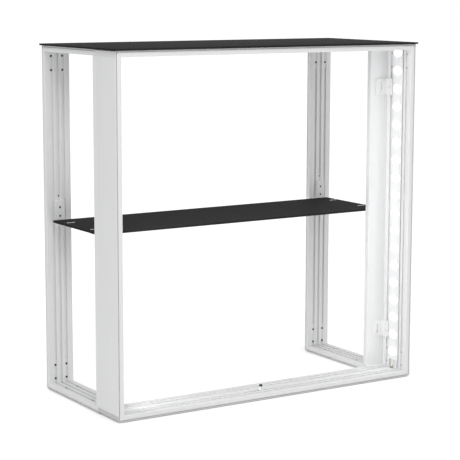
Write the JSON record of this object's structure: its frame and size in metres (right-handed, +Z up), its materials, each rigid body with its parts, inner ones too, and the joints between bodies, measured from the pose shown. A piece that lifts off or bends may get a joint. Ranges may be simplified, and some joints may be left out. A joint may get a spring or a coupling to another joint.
{
  "type": "promotional counter",
  "caption": "Open aluminium-profile counter: mitred light frame in front, two side frames, a height-adjustable shelf and a thin lift-off top board.",
  "frame": {"origin": "on the floor, under the middle of the footprint", "axes": "+Z up, +X to the right when seen from the front, the front frame towards -Y"},
  "size_m": [1.012, 0.454, 1.0053],
  "materials": {
    "anodised_aluminium": "satin natural anodised",
    "zinc_steel": "zinc plated",
    "pale_steel": "pale grey satin",
    "dark_board": "dark grey laminate, matt",
    "led_carrier": "white satin",
    "lens": "clear moulded, lit from inside",
    "lead": "pale insulated wire",
    "black_plastic": "black moulded"
  },
  "bodies": {
    "frame": {"front_bottom_rail": "anodised_aluminium", "front_top_rail": "anodised_aluminium", "front_left_upright": "anodised_aluminium", "front_right_upright": "anodised_aluminium", "left_bottom_rail": "anodised_aluminium", "left_top_rail": "anodised_aluminium", "left_near_upright": "anodised_aluminium", "left_rear_upright": "anodised_aluminium", "right_bottom_rail": "anodised_aluminium", "right_top_rail": "anodised_aluminium", "right_near_upright": "anodised_aluminium", "right_rear_upright": "anodised_aluminium", "front_bottom_left_bracket_a": "zinc_steel", "front_bottom_left_bracket_b": "zinc_steel", "front_bottom_right_bracket_a": "zinc_steel", "front_bottom_right_bracket_b": "zinc_steel", "front_top_left_bracket_a": "zinc_steel", "front_top_left_bracket_b": "zinc_steel", "front_top_right_bracket_a": "zinc_steel", "front_top_right_bracket_b": "zinc_steel", "left_bottom_near_bracket_a": "zinc_steel", "left_bottom_near_bracket_b": "zinc_steel", "left_bottom_rear_bracket_a": "zinc_steel", "left_bottom_rear_bracket_b": "zinc_steel", "left_top_near_bracket_a": "zinc_steel", "left_top_near_bracket_b": "zinc_steel", "left_top_rear_bracket_a": "zinc_steel", "left_top_rear_bracket_b": "zinc_steel", "right_bottom_near_bracket_a": "zinc_steel", "right_bottom_near_bracket_b": "zinc_steel", "right_bottom_rear_bracket_a": "zinc_steel", "right_bottom_rear_bracket_b": "zinc_steel", "right_top_near_bracket_a": "zinc_steel", "right_top_near_bracket_b": "zinc_steel", "right_top_rear_bracket_a": "zinc_steel", "right_top_rear_bracket_b": "zinc_steel", "power_inlet": "zinc_steel", "left_lower_connector": "pale_steel", "left_upper_connector": "pale_steel", "right_lower_connector": "pale_steel", "right_upper_connector": "pale_steel", "left_led_bar": "led_carrier", "right_led_bar": "led_carrier", "left_lens_strip": "lens", "right_lens_strip": "lens", "left_led_lead": "lead", "right_led_lead": "lead", "left_lead_grommet": "black_plastic", "right_lead_grommet": "black_plastic"},
    "shelf_brackets": {"left_near_shelf_bracket": "pale_steel", "left_rear_shelf_bracket": "pale_steel", "right_near_shelf_bracket": "pale_steel", "right_rear_shelf_bracket": "pale_steel", "left_near_nut_strip": "zinc_steel", "left_rear_nut_strip": "zinc_steel", "right_near_nut_strip": "zinc_steel", "right_rear_nut_strip": "zinc_steel"},
    "shelf": {"shelf": "dark_board"},
    "top_board": {"top_board": "dark_board"}
  },
  "joints": [
    {"name": "shelf_height", "type": "slide", "parent": "frame", "child": "shelf_brackets", "axis": [0, 0, 1], "range_m": [-0.35, 0.2]},
    {"name": "shelf_lift", "type": "slide", "parent": "shelf_brackets", "child": "shelf", "axis": [0, 0, 1], "range_m": [0, 0.2]},
    {"name": "board_lift", "type": "slide", "parent": "frame", "child": "top_board", "axis": [0, 0, 1], "range_m": [0, 0.15]}
  ]
}
